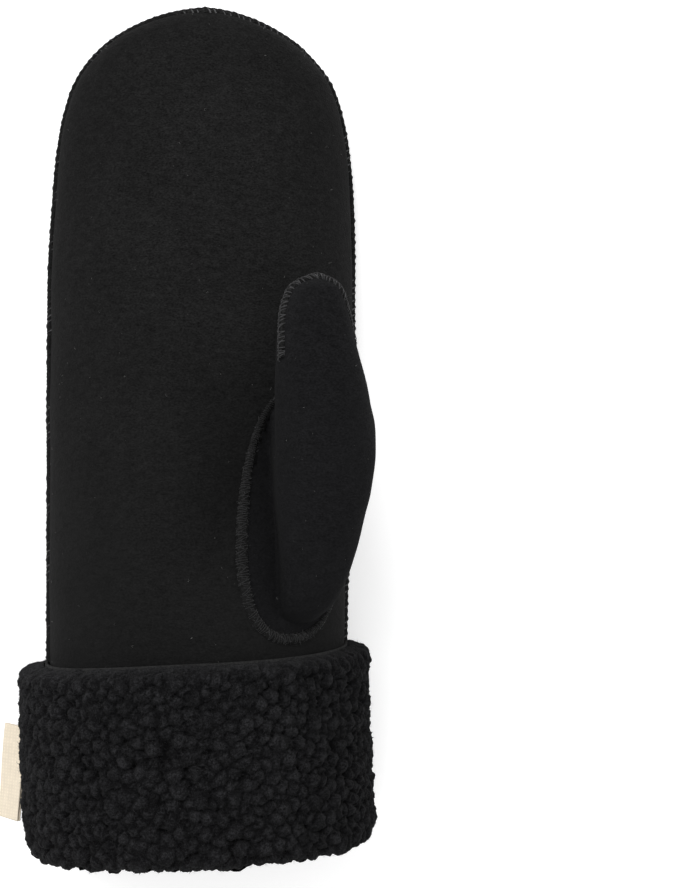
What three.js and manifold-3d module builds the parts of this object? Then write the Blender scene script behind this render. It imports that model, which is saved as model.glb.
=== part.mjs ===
// A shearling leather mitten for the right hand, lying on its back with the palm up.
// Millimetres. +X is the thumb side, +Y points to the fingertips, +Z is up out of the palm.
// The origin is on the surface the mitten lies on, under the middle of its length and width.
import * as THREE from "three";
import { mergeVertices } from "three/addons/utils/BufferGeometryUtils.js";
import Module from "manifold-3d";

// Whole mitten
const mittenLength = 268.6; // from the fold of the cuff to the fingertip
const palmWidth = 98.5; // leather at the knuckles, without the seam
const wristWidth = 94;
const handDepth = 57; // back to palm at the knuckles
const wristDepth = 69;
const wristLift = 7; // the turned-up cuff holds the wrist this high off the surface

// Leather and its seams
const leatherWall = 2;
const seamHeight = 1.8; // how far the sewn edges stand out of the leather
const seamHalfWidth = 1.7;
const pieceGap = 0.3; // clearance between neighbouring pieces

// Turned-up cuff
const cuffHeight = 63;
const cuffPile = 9.2; // outside of the leather to the tips of the curls
const innerPile = 6; // curls on the part of the cuff that folds into the mouth
const innerLeg = 30; // how far the cuff goes into the mouth
const foldThickness = 9; // at the bottom fold, below the leather's hem
const cuffStandOff = 2.8; // the cuff's top edge stands clear of the side seam
const slotClearance = 0.5;
const curlHeight = 1.8;
const cuffShift = -1.4; // the pile is fuller on the side away from the thumb
const cuffSkew = 1.9; // degrees that the cuff sits askew, higher on the thumb side
const cuffFlare = 3.5; // the pile is fuller towards the fold on the thumb side
const cuffFront = 2.9; // the fold is drawn up over the palm
const cuffDrop = 2.6; // the top edge is lower on the side away from the thumb
const cuffTuck = 3.5; // the pile draws in towards the fold on that side

// Thumb
const thumbWidth = 31.4;
const thumbLength = 109; // from the lower end of the thumb hole to the tip
const thumbOffset = 36; // middle of the thumb from the middle of the palm
const thumbBase = 70.5; // lower end of the thumb hole from the fold of the cuff
const thumbSeamHeight = 1.1;
const holeSeamHeight = 1.8;
const holeSeamWidth = 4.2;
const rootTaper = 0.85; // the hole's walls lean in below the palm's surface
const rootDepth = 20;

// Label, a folded tag sewn into the cuff's outer side
const labelLength = 30;
const labelWidth = 10.4;
const labelThickness = 1.2;
const labelRoot = 2.5; // how much of its width is sewn into the pile
const labelFromFold = 8.7; // lower end of the label above the fold
const labelLean = 44; // degrees that its free edge stands away from the cuff's side
const labelTilt = 5; // degrees that its upper end leans in towards the cuff

const roundPalm = 2.3; // fullness of the palm's arch: 2 is an ellipse
const roundBack = 2.6;
const aroundHand = 36;
const aroundCuff = 52;
const aroundThumb = 24;
const handStations = 24;
const thumbStations = 14;

const tipY = mittenLength / 2;
const foldY = -mittenLength / 2;
const askew = Math.tan(THREE.MathUtils.degToRad(cuffSkew));
const hemY = foldY + foldThickness + slotClearance + cuffFront / 2 + (askew * palmWidth) / 2;

// A table's rows as objects, by the names of its columns.
const table = (columns, rows) =>
  rows.map((row) => Object.fromEntries(columns.map((column, i) => [column, row[i]])));

// The hand from the fingertip down. FromTip is a share of the mitten's length and shift of the palm's width.
// Width is a share of the width there, and crown, seam and back are heights as shares of the depth there.
// Wrist says how far the section has changed from the hand's sizes to the wrist's.
const handRows = table(
  ["fromTip", "width", "crown", "seam", "back", "wrist", "shift"],
  [
    [0.0, 0.0, 0.447, 0.447, 0.447, 0, 0.018],
    [0.012, 0.375, 0.554, 0.34, 0.3, 0, 0.012],
    [0.04, 0.665, 0.646, 0.215, 0.17, 0, 0.01],
    [0.085, 0.856, 0.722, 0.145, 0.065, 0, 0.013],
    [0.156, 0.95, 0.81, 0.135, 0.0, 0, 0.013],
    [0.227, 0.983, 0.88, 0.14, -0.025, 0, 0.012],
    [0.321, 1.0, 0.975, 0.155, -0.03, 0, 0.007],
    [0.462, 1.0, 1.0, 0.215, -0.06, 0.1, 0.005],
    [0.57, 1.0, 1.0, 0.245, -0.09, 0.55, 0.0],
    [0.652, 1.0, 1.0, 0.25, -0.01, 0.82, -0.005],
    [0.757, 1.0, 1.0, 0.245, 0.0, 1, -0.008],
    [1.0, 1.0, 1.0, 0.245, 0.0, 1, -0.008],
  ],
);

// The thumb from the hole in the palm to the tip, as rings that turn from lying on the palm to standing
// across the thumb. Low and high are the ring's ends on the palm side and the outer side: Y is a share of
// the thumb's length from the lower end of the hole, and Z a height as a share of the hand's depth.
// Width is a share of the thumb's width, and so are shift, which moves the middle, lean, which moves the
// low end out and the high end in, and clear, the least height of the ring above the palm's surface. Full
// is the ring's fullness, where 2 is an ellipse.
const thumbRows = table(
  ["lowY", "lowZ", "highY", "highZ", "width", "shift", "lean", "clear", "full"],
  [
    [0.702, 0.8, 0.012, 0.95, 1.03, -0.18, 0.1, 0, 2.4],
    [0.702, 0.93, 0.077, 1.33, 0.98, -0.09, 0.06, 0.05, 2.4],
    [0.706, 1, 0.202, 1.45, 0.92, 0.015, 0.05, 0.2, 2.2],
    [0.72, 1.053, 0.385, 1.526, 0.97, 0.05, 0, 0.18, 2.1],
    [0.748, 1.096, 0.55, 1.57, 0.91, 0.02, 0, 0, 2.1],
    [0.784, 1.14, 0.683, 1.61, 0.845, -0.022, 0, 0, 2.1],
    [0.839, 1.193, 0.803, 1.63, 0.745, -0.06, 0, 0, 2.1],
    [0.904, 1.263, 0.901, 1.615, 0.625, -0.075, 0, 0, 2.1],
    [0.957, 1.351, 0.963, 1.57, 0.455, -0.065, 0, 0, 2.1],
    [1, 1.474, 1, 1.474, 0, -0.045, 0, 0, 2.1],
  ],
);
const thumbSeamStart = 0.4; // share of the way up the rings where the tip seam begins

const wasm = await Module();
wasm.setup();

const mix = (a, b, share) => a + (b - a) * share;

// A smooth curve through one column of a table, which never swings past its rows.
function curveThrough(places, values) {
  const rise = places.slice(1).map((p, i) => (values[i + 1] - values[i]) / (p - places[i]));
  const slope = values.map((_, i) => {
    if (i === 0) return rise[0];
    if (i === rise.length) return rise[i - 1];
    const product = rise[i - 1] * rise[i];
    return product <= 0 ? 0 : (2 * product) / (rise[i - 1] + rise[i]);
  });
  return (place) => {
    let i = places.findIndex((p, k) => k > 0 && place <= p);
    if (i < 0) i = places.length - 1;
    const span = places[i] - places[i - 1];
    const t = THREE.MathUtils.clamp((place - places[i - 1]) / span, 0, 1);
    const [t2, t3] = [t * t, t * t * t];
    return (
      (2 * t3 - 3 * t2 + 1) * values[i - 1] +
      (t3 - 2 * t2 + t) * span * slope[i - 1] +
      (3 * t2 - 2 * t3) * values[i] +
      (t3 - t2) * span * slope[i]
    );
  };
}

function curvesThrough(rows, placeOf) {
  const places = rows.map(placeOf);
  const columns = Object.keys(rows[0]);
  return Object.fromEntries(columns.map((c) => [c, curveThrough(places, rows.map((r) => r[c]))]));
}

// The square root spreads the fingertip's quick change evenly.
const hand = curvesThrough(handRows, (row) => Math.sqrt(row.fromTip));
const thumb = curvesThrough(thumbRows, (_, i) => i / (thumbRows.length - 1));

// A rounded section: an arch above its widest line and another below it.
function roundedSection(count, halfWidth, up, down, fullUp, fullDown) {
  return Array.from({ length: count }, (_, i) => {
    const angle = (2 * Math.PI * i) / count;
    const [c, s] = [Math.cos(angle), Math.sin(angle)];
    const full = s >= 0 ? fullUp : fullDown;
    const across = Math.sign(c) * Math.abs(c) ** (2 / full) * halfWidth;
    const height = Math.abs(s) ** (2 / full) * (s >= 0 ? up : -down);
    return [across, height];
  });
}

// Heights and widths of the hand at a share of its length, grown outwards, or inwards if negative.
function handAt(fromTip, grow = 0) {
  const place = Math.sqrt(fromTip);
  const wrist = hand.wrist(place);
  const depth = mix(handDepth, wristDepth, wrist);
  const spread = hand.width(place);
  const seam = hand.seam(place) * depth;
  return {
    y: tipY - mittenLength * fromTip + grow * (1 - spread),
    middle: hand.shift(place) * palmWidth,
    halfWidth: spread * (mix(palmWidth, wristWidth, wrist) / 2 + grow),
    seam: seam + wristLift * wrist,
    up: hand.crown(place) * depth - seam + grow * spread,
    down: seam - hand.back(place) * depth + grow * spread,
  };
}

function handRing(fromTip, grow, count = aroundHand) {
  const at = handAt(fromTip, grow);
  const floor = Math.max(0, -grow);
  const section = roundedSection(count, at.halfWidth, at.up, at.down, roundPalm, roundBack);
  return section.map(
    ([across, height]) =>
      new THREE.Vector3(at.middle + across, at.y, Math.max(at.seam + height, floor)),
  );
}

// A closed solid through rings of equal count. A ring whose points meet closes to a point.
function loft(rings) {
  const count = rings[0].length;
  const points = rings.flat();
  const faces = [];
  for (let k = 0; k + 1 < rings.length; k++)
    for (let i = 0; i < count; i++) {
      const [a, b] = [k * count + i, k * count + ((i + 1) % count)];
      faces.push(a, b, b + count, a, b + count, a + count);
    }
  for (const [first, turned] of [[0, true], [(rings.length - 1) * count, false]]) {
    const middle = new THREE.Vector3();
    for (let i = 0; i < count; i++) middle.addScaledVector(points[first + i], 1 / count);
    points.push(middle);
    for (let i = 0; i < count; i++) {
      const [a, b] = [first + i, first + ((i + 1) % count)];
      faces.push(...(turned ? [b, a] : [a, b]), points.length - 1);
    }
  }
  return outwards(new THREE.BufferGeometry().setFromPoints(points).setIndex(faces));
}

// A ring of closed profiles joined head to tail. Each square is cut so that raised corners stay separate.
function hoop(profiles) {
  const [around, count] = [profiles.length, profiles[0].length];
  const faces = [];
  for (let k = 0; k < around; k++)
    for (let i = 0; i < count; i++) {
      const [a, b] = [k * count + i, k * count + ((i + 1) % count)];
      const [c, d] = [((k + 1) % around) * count + i, ((k + 1) % around) * count + ((i + 1) % count)];
      faces.push(...((k + i) % 2 ? [a, b, c, b, d, c] : [a, b, d, a, d, c]));
    }
  return outwards(new THREE.BufferGeometry().setFromPoints(profiles.flat()).setIndex(faces));
}

// A manifold solid from a closed geometry, turned so that its faces point out.
function outwards(geometry) {
  const bare = geometry.clone();
  bare.deleteAttribute("normal");
  bare.deleteAttribute("uv");
  const merged = mergeVertices(bare, 1e-4);
  const corners = Array.from(merged.index.array);
  const faces = [];
  for (let i = 0; i < corners.length; i += 3) {
    const [a, b, c] = corners.slice(i, i + 3);
    if (a !== b && b !== c && c !== a) faces.push(a, b, c);
  }
  const build = (list) =>
    new wasm.Manifold(
      new wasm.Mesh({
        numProp: 3,
        vertProperties: new Float32Array(merged.attributes.position.array),
        triVerts: new Uint32Array(list),
      }),
    );
  const made = build(faces);
  return made.volume() >= 0 ? made : build(faces.reverse());
}

// A flat outline in the plane of length and height, drawn out from side to side.
function sideSlab(outline, width) {
  const shape = new THREE.Shape(outline.map(([y, z]) => new THREE.Vector2(y, z)));
  const slab = new THREE.ExtrudeGeometry(shape, { depth: width, bevelEnabled: false });
  slab.translate(0, 0, -width / 2);
  const turn = new THREE.Matrix4().makeBasis(
    new THREE.Vector3(0, 1, 0),
    new THREE.Vector3(0, 0, 1),
    new THREE.Vector3(1, 0, 0),
  );
  return outwards(slab.applyMatrix4(turn));
}

// The hand as a solid, from the tip to a height, grown or shrunk.
function handSolid(grow, endY) {
  const end = (tipY - endY) / mittenLength;
  const rings = Array.from({ length: handStations + 1 }, (_, k) =>
    handRing(end * (k / handStations) ** 2, grow),
  );
  return loft(rings);
}

// The line of the side seam seen from the side, moved across itself by an amount.
function seamLine(offset, endY) {
  const end = (tipY - endY) / mittenLength;
  const line = Array.from({ length: handStations + 1 }, (_, k) => {
    const at = handAt(end * (k / handStations) ** 2);
    return new THREE.Vector2(at.y, at.seam);
  });
  return line.map((p, k) => {
    const along = line[Math.min(k + 1, line.length - 1)].clone().sub(line[Math.max(k - 1, 0)]);
    along.normalize();
    return [p.x + along.y * offset, p.y - along.x * offset];
  });
}

// The height of the palm's surface over a point.
function palmHeight(x, y) {
  const at = handAt((tipY - y) / mittenLength);
  const across = Math.min(Math.abs(x - at.middle) / at.halfWidth, 1);
  return at.seam + at.up * (1 - across ** roundPalm) ** (1 / roundPalm);
}

function thumbRing(place, grow) {
  const start = foldY + thumbBase;
  const low = new THREE.Vector2(start + thumb.lowY(place) * thumbLength, thumb.lowZ(place) * handDepth);
  const high = new THREE.Vector2(
    start + thumb.highY(place) * thumbLength,
    thumb.highZ(place) * handDepth,
  );
  const middle = low.clone().add(high).multiplyScalar(0.5);
  const half = high.clone().sub(low).multiplyScalar(0.5);
  const spread = Math.min(1, thumb.width(place));
  const halfLength = half.length();
  if (halfLength > 0) half.multiplyScalar(1 + (grow * spread) / halfLength);
  // Towards the tip, growing moves the ring along the thumb instead.
  middle.x += grow * (1 - spread);
  const halfWidth = (thumb.width(place) * thumbWidth) / 2 + grow * spread;
  const across = thumbOffset + thumb.shift(place) * thumbWidth;
  const full = thumb.full(place);
  return roundedSection(aroundThumb, halfWidth, 1, 1, full, full).map(([out, along]) => {
    const x = across + out - thumb.lean(place) * thumbWidth * along;
    const y = middle.x + half.x * along;
    const least = palmHeight(x, y) + thumb.clear(place) * thumbWidth;
    return new THREE.Vector3(x, y, Math.max(middle.y + half.y * along, least));
  });
}

// The thumb as a solid whose root goes down through the palm.
function thumbSolid(grow) {
  const rings = Array.from({ length: thumbStations + 1 }, (_, k) => thumbRing(k / thumbStations, grow));
  const middle = rings[0][0].clone().add(rings[0][aroundThumb / 2]).multiplyScalar(0.5);
  const root = rings[0].map((p) => p.clone().lerp(middle, 1 - rootTaper).setZ(p.z - rootDepth));
  return loft([root, ...rings]);
}

function flat(geometrySolid, name, colour, roughness) {
  const { numProp, vertProperties, triVerts } = geometrySolid.getMesh();
  const points = new Float32Array((vertProperties.length / numProp) * 3);
  for (let i = 0; i * numProp < vertProperties.length; i++)
    points.set(vertProperties.subarray(i * numProp, i * numProp + 3), i * 3);
  const geometry = new THREE.BufferGeometry();
  geometry.setAttribute("position", new THREE.BufferAttribute(points, 3));
  geometry.setIndex(new THREE.BufferAttribute(new Uint32Array(triVerts), 1));
  geometry.computeVertexNormals();
  const mesh = new THREE.Mesh(
    geometry,
    new THREE.MeshStandardMaterial({ color: colour, roughness, metalness: 0 }),
  );
  mesh.name = name;
  return mesh;
}

// Hand leather: a palm panel and a back panel, meeting in a seam whose edges stand out
const slabWidth = 2 * palmWidth;
const slabTop = 3 * handDepth;
const slabDeep = -handDepth;
const mouthY = foldY - cuffPile;
const handOuter = handSolid(0, hemY);
const handInner = handSolid(-leatherWall, mouthY);
const handGrown = handSolid(seamHeight, mouthY);

// The seam's ridge stops just inside the top of the cuff.
const seamEndY = foldY + 0.86 * cuffHeight;
const seamBand = sideSlab(
  [
    [tipY + palmWidth, handAt(0).seam - seamHalfWidth],
    ...seamLine(-seamHalfWidth, seamEndY),
    ...seamLine(seamHalfWidth, seamEndY).reverse(),
    [tipY + palmWidth, handAt(0).seam + seamHalfWidth],
  ],
  slabWidth,
);
const abovePart = sideSlab(
  [
    [tipY + palmWidth, handAt(0).seam + pieceGap / 2],
    ...seamLine(pieceGap / 2, mouthY),
    [mouthY, slabTop],
    [tipY + palmWidth, slabTop],
  ],
  slabWidth,
);
const belowPart = sideSlab(
  [
    [tipY + palmWidth, handAt(0).seam - pieceGap / 2],
    ...seamLine(-pieceGap / 2, mouthY),
    [mouthY, slabDeep],
    [tipY + palmWidth, slabDeep],
  ],
  slabWidth,
);

// Thumb: one folded piece with a seam over its tip, standing on the edge of its hole in the palm
const thumbOuter = thumbSolid(0);
const thumbInner = thumbSolid(-leatherWall);
const thumbSeamY = foldY + thumbBase + thumbSeamStart * thumbLength;
const thumbSeamBand = sideSlab(
  (() => {
    const line = (offset) =>
      Array.from({ length: thumbStations + 1 }, (_, k) => {
        const place = mix(thumbSeamStart, 1, k / thumbStations);
        const ring = thumbRing(place, 0);
        return [ring[0].y - offset, (ring[0].z + ring[aroundThumb / 2].z) / 2 + offset];
      });
    const reach = thumbSeamY + thumbLength;
    const tip = line(0).at(-1)[1];
    return [
      ...line(seamHalfWidth / 2),
      [reach, tip + seamHalfWidth / 2],
      [reach, tip - seamHalfWidth / 2],
      ...line(-seamHalfWidth / 2).reverse(),
    ];
  })(),
  slabWidth,
);
const thumbSeam = thumbSolid(thumbSeamHeight).intersect(thumbSeamBand);
const thumbShell = thumbOuter
  .add(thumbSeam)
  .subtract(thumbInner)
  .subtract(handSolid(pieceGap, mouthY));

// The palm's edge round the thumb hole is turned out into a low ridge.
const holeSeam = thumbSolid(holeSeamWidth)
  .intersect(handSolid(holeSeamHeight, mouthY))
  .subtract(thumbSolid(thumbSeamHeight + pieceGap));
const handShell = handOuter
  .add(handGrown.intersect(seamBand))
  .add(holeSeam)
  .subtract(handInner);
const palmPanel = handShell.subtract(thumbInner).intersect(abovePart);
const backPanel = handShell.intersect(belowPart);

// Cuff: one band of shearling, folded at the bottom, with its curls outside and a short way into the mouth
function cuffProfile(index) {
  const wallOut = cuffPile;
  const wallIn = -(leatherWall + slotClearance);
  const face = wallIn - innerPile;
  const rows = 10;
  const bumps = 3;
  const lower = foldThickness * 0.9;
  const upper = cuffHeight - 5;
  const knob = (row) => ((row + index) % 2 ? -0.5 : 0.5) * curlHeight;
  const outside = Array.from({ length: rows }, (_, row) => [
    wallOut + knob(row),
    mix(upper, lower, row / (rows - 1)),
  ]);
  const inside = Array.from({ length: bumps }, (_, row) => [
    face + knob(row) / 2,
    mix(lower, innerLeg - 3, row / (bumps - 1)),
  ]);
  return [
    [cuffStandOff, cuffHeight],
    [mix(cuffStandOff, wallOut, 0.55), cuffHeight + 0.4],
    [mix(cuffStandOff, wallOut, 0.88), cuffHeight - 2],
    ...outside,
    [wallOut - 1.6, lower * 0.38],
    [wallOut - 5, lower * 0.06],
    [0.5 * (slotClearance + wallIn), 0],
    [face + 4.2, lower * 0.1],
    [face + 1, lower * 0.42],
    ...inside,
    [face + 1.4, innerLeg],
    [wallIn, innerLeg],
    [wallIn, foldThickness],
    [slotClearance, foldThickness],
    [slotClearance, cuffHeight * 0.7],
    [cuffStandOff, cuffHeight * 0.84],
  ];
}

const cuffRing = Array.from({ length: aroundCuff }, (_, index) =>
  cuffProfile(index).map(
    ([out, up]) => {
      const point = handRing((tipY - foldY - up) / mittenLength, out, aroundCuff)[index];
      const piled = Math.max(out, 0) / cuffPile;
      const sideways = point.x / (palmWidth / 2);
      const front = point.z / (wristLift + wristDepth);
      const below = (1 - up / cuffHeight) ** 2;
      const above = Math.min(up / cuffHeight, 1) ** 2;
      const flare = cuffFlare * Math.max(sideways, 0) * below;
      const tuck = cuffTuck * Math.max(-sideways, 0) * below ** 2;
      point.x += piled * (cuffShift + flare + tuck);
      point.y += askew * point.x + cuffFront * front ** 2 * below;
      point.y -= cuffDrop * Math.max(-sideways, 0) ** 2 * above;
      return point;
    },
  ),
);
const cuffSolid = hoop(cuffRing);

// Label: a small flat tag whose root is sewn into the pile beside the side seam
function labelSolid(grow) {
  const at = handAt((tipY - foldY - cuffHeight / 2) / mittenLength, cuffPile);
  const tag = new THREE.BoxGeometry(
    labelWidth + 2 * grow,
    labelLength + 2 * grow,
    labelThickness + 2 * grow,
  );
  tag.translate(labelWidth / 2 - labelRoot, 0, 0);
  tag.rotateY(THREE.MathUtils.degToRad(90 + labelLean));
  tag.rotateZ(THREE.MathUtils.degToRad(-labelTilt));
  tag.translate(at.middle - at.halfWidth + cuffShift, foldY + labelFromFold + labelLength / 2, at.seam);
  return outwards(tag);
}
const cuffWithSlit = cuffSolid.subtract(labelSolid(pieceGap));

const black = 0x1d1d1e;
const mitten = new THREE.Group();
mitten.add(
  flat(palmPanel, "palm_panel", black, 0.9),
  flat(backPanel, "back_panel", black, 0.9),
  flat(thumbShell, "thumb", black, 0.9),
  flat(cuffWithSlit, "cuff", 0x18181a, 1),
  flat(labelSolid(0), "label", 0xdccfba, 0.75),
);

export default mitten;
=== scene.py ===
import math

import bpy
import numpy as np
from mathutils import Matrix, Vector, kdtree, noise


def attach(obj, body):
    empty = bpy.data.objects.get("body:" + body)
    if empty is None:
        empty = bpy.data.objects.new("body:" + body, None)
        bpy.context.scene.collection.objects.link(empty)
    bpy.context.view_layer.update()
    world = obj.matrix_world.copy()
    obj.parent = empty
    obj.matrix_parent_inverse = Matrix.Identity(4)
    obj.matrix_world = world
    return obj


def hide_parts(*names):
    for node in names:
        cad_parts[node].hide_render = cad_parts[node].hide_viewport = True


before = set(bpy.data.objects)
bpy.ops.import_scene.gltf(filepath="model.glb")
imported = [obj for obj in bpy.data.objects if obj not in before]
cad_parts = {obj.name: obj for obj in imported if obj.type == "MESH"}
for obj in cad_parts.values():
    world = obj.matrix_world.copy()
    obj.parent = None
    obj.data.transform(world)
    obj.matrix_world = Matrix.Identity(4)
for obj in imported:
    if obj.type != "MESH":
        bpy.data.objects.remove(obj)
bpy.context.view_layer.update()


# The hand: a palm panel and a back panel of shearling skin, about 2 mm thick, worn suede side out.
# The palm arches over the hand and the back lies flat on the table. Each is one smooth curved sheet,
# slightly uneven where the wool inside pushes it out, and both end at the side seam.
mm = 0.001
mitten_length = 268.6 * mm
palm_width = 98.5 * mm
wrist_width = 94 * mm
hand_depth = 57 * mm
wrist_depth = 69 * mm
wrist_lift = 7 * mm
leather_wall = 2 * mm
weld_reach = 0.02 * mm
round_palm = 2.3
round_back = 2.6
rest_softness = 0.8 * mm
rest_depth = 6 * mm
tip_y = mitten_length / 2
fold_y = -mitten_length / 2

# Along is a share of the length from the fingertip, width of the width there, shift of the palm's width,
# and crown, seam and back are heights as shares of the depth there. Wrist goes from hand to wrist sizes.
hand_columns = "along width crown seam back wrist shift".split()
hand_rows = [
    (0.000, 0.000, 0.447, 0.447, 0.447, 0.00, 0.018),
    (0.012, 0.375, 0.554, 0.340, 0.300, 0.00, 0.012),
    (0.040, 0.665, 0.646, 0.215, 0.170, 0.00, 0.010),
    (0.085, 0.856, 0.722, 0.145, 0.065, 0.00, 0.013),
    (0.156, 0.950, 0.810, 0.135, 0.000, 0.00, 0.013),
    (0.227, 0.983, 0.880, 0.140, -0.025, 0.00, 0.012),
    (0.321, 1.000, 0.975, 0.155, -0.030, 0.00, 0.007),
    (0.462, 1.000, 1.000, 0.215, -0.060, 0.10, 0.005),
    (0.570, 1.000, 1.000, 0.245, -0.090, 0.55, 0.000),
    (0.652, 1.000, 1.000, 0.250, -0.010, 0.82, -0.005),
    (0.757, 1.000, 1.000, 0.245, 0.000, 1.00, -0.008),
    (1.000, 1.000, 1.000, 0.245, 0.000, 1.00, -0.008),
]


def curve_through(places, values):
    """A smooth curve through a column of a table, which never swings past its rows."""
    places, values = np.array(places, float), np.array(values, float)
    rise = np.diff(values) / np.diff(places)
    product = rise[:-1] * rise[1:]
    slope = np.concatenate([rise[:1], np.zeros(len(product)), rise[-1:]])
    turning = product > 0
    slope[1:-1][turning] = 2 * product[turning] / (rise[:-1] + rise[1:])[turning]

    def at(place):
        place = np.clip(place, places[0], places[-1])
        i = np.clip(np.searchsorted(places, place), 1, len(places) - 1)
        span = places[i] - places[i - 1]
        t = (place - places[i - 1]) / span
        start = (2 * t**3 - 3 * t**2 + 1) * values[i - 1] + (t**3 - 2 * t**2 + t) * span * slope[i - 1]
        return start + (3 * t**2 - 2 * t**3) * values[i] + (t**3 - t**2) * span * slope[i]

    return at


def curves_through(columns, rows, places):
    """A curve for each of a table's columns, by the column's name."""
    return {name: curve_through(places, [row[k] for row in rows]) for k, name in enumerate(columns)}


# The square root spreads the fingertip's quick change evenly.
hand = curves_through(hand_columns, hand_rows, [math.sqrt(row[0]) for row in hand_rows])


def hand_at(along, grow=0.0):
    """The hand's sizes at a share of its length, grown outwards by an amount."""
    place = np.sqrt(along)
    wrist = hand["wrist"](place)
    depth = hand_depth + (wrist_depth - hand_depth) * wrist
    spread = hand["width"](place)
    seam = hand["seam"](place) * depth
    return {
        "y": tip_y - mitten_length * along + grow * (1 - spread),
        "middle": hand["shift"](place) * palm_width,
        "half_width": spread * ((palm_width + (wrist_width - palm_width) * wrist) / 2 + grow),
        "seam": seam + wrist_lift * wrist,
        "up": hand["crown"](place) * depth - seam + grow * spread,
        "down": seam - hand["back"](place) * depth + grow * spread,
    }


def rounded_section(angle, half_width, up, down, full_up, full_down):
    """Points of a rounded section: an arch above its widest line and another below it."""
    c, s = np.cos(angle), np.sin(angle)
    full = np.where(s >= 0, full_up, full_down)
    across = np.sign(c) * np.abs(c) ** (2 / full) * half_width
    height = np.abs(s) ** (2 / full) * np.where(s >= 0, up, -down)
    return across, height


def hand_points(along, angle, grow=0.0):
    """Points on the hand by share of length and angle round it: 0 is the thumb's side, pi the other."""
    at = hand_at(along, grow)
    sizes = at["half_width"], at["up"], at["down"]
    across, height = rounded_section(angle, *sizes, round_palm, round_back)
    z = at["seam"] + height
    z = (z + np.sqrt(z**2 + rest_softness**2)) / 2
    y = at["y"] + 0 * across
    return np.stack([at["middle"] + across, y, z], axis=-1)


def puffed(points, middle_z, amount=0.7 * mm, size=34 * mm):
    """The points pushed in and out by the wool behind the leather, but not where the mitten rests."""
    flat = points.reshape(-1, 3)
    middle = flat * np.array([0, 1, 0]) + np.array([0, 0, middle_z])
    outward = flat - middle
    outward /= np.maximum(np.linalg.norm(outward, axis=1, keepdims=True), 1 * mm)
    finer, fainter = 2.6, 0.4
    places = [Vector(point) / size for point in flat]
    swell = np.array([noise.noise(at) + fainter * noise.noise(at * finer) for at in places])
    rested = np.clip(flat[:, 2] / rest_depth, 0, 1)
    return (flat + outward * (swell * amount * rested)[:, None]).reshape(points.shape)


def sheet_mesh(name, grid, closed=False, keep=None):
    """An object from a grid of points, rows by columns, with a test that says which squares to keep."""
    rows, columns = grid.shape[:2]
    index = np.arange(rows * columns).reshape(rows, columns)
    right = np.roll(index, -1, axis=1)
    last = columns if closed else columns - 1
    faces = np.stack([index[:-1], right[:-1], right[1:], index[1:]], axis=-1)[:, :last].reshape(-1, 4)
    points = grid.reshape(-1, 3)
    if keep is not None:
        faces = faces[keep(points[faces].mean(axis=1))]
    mesh = bpy.data.meshes.new(name)
    mesh.from_pydata(points.tolist(), [], faces.tolist())
    mesh.validate()
    piece = bpy.data.objects.new(name, mesh)
    bpy.context.scene.collection.objects.link(piece)
    return piece


def baked(piece):
    """The piece as a plain mesh, with its modifiers made part of it and loose points dropped."""
    bpy.context.view_layer.update()
    evaluated = piece.evaluated_get(bpy.context.evaluated_depsgraph_get())
    mesh = bpy.data.meshes.new_from_object(evaluated)
    piece.modifiers.clear()
    piece.data = mesh
    mesh.shade_smooth()
    return piece


def points_of(piece):
    """The piece's points as an array."""
    points = np.zeros(len(piece.data.vertices) * 3)
    piece.data.vertices.foreach_get("co", points)
    return points.reshape(-1, 3)


def mark_points(mesh, name, values):
    """Keeps a number or a vector for each point of the mesh, under a name that a tree can read."""
    kind, field = ("FLOAT_VECTOR", "vector") if values.ndim == 2 else ("FLOAT", "value")
    mesh.attributes.new(name, kind, "POINT").data.foreach_set(field, values.ravel())


def walled(piece, wall):
    """The sheet given a wall on its inner side. The inner side takes the piece's second material."""
    weld = piece.modifiers.new("weld", "WELD")
    weld.merge_threshold = weld_reach
    solidify = piece.modifiers.new("wall", "SOLIDIFY")
    solidify.thickness = wall
    solidify.offset = -1
    solidify.material_offset = 1
    return baked(piece)


def linear(colour):
    """An sRGB hex colour as linear red, green, blue and alpha."""
    shares = [int(colour[i : i + 2], 16) / 255 for i in (1, 3, 5)]
    return [s / 12.92 if s <= 0.04045 else ((s + 0.055) / 1.055) ** 2.4 for s in shares] + [1]


def add_node(tree, kind, inputs=(), **settings):
    """Adds a node with its settings, and links or sets its inputs, in order or by name or number."""
    node = tree.nodes.new(kind)
    for name, value in settings.items():
        setattr(node, name, value)
    for key, value in inputs.items() if isinstance(inputs, dict) else enumerate(inputs):
        if isinstance(value, bpy.types.NodeSocket):
            tree.links.new(value, node.inputs[key])
        else:
            node.inputs[key].default_value = value
    return node


def new_material(name, surface):
    """A material with its tree and its Principled shader, whose even inputs are set from the surface."""
    material = bpy.data.materials.new(name)
    material.use_nodes = True
    tree = material.node_tree
    tree.nodes.clear()
    shader = add_node(tree, "ShaderNodeBsdfPrincipled", surface)
    add_node(tree, "ShaderNodeOutputMaterial", {"Surface": shader.outputs[0]})
    return material, tree, shader


# The part of a noise's values, from 0 to 1, that most of it lies in.
noise_middle = (0.3, 0.7)


def noise_at(tree, place, size, detail=2, roughness=0.5, stretch=(1, 1, 1)):
    """A noise whose features are as wide as the size, stretched along an axis if asked."""
    mapping = add_node(tree, "ShaderNodeMapping", {"Vector": place, "Scale": stretch})
    settings = {"Vector": mapping.outputs[0], "Scale": 1 / size, "Detail": detail, "Roughness": roughness}
    return add_node(tree, "ShaderNodeTexNoise", settings).outputs["Fac"]


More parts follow.
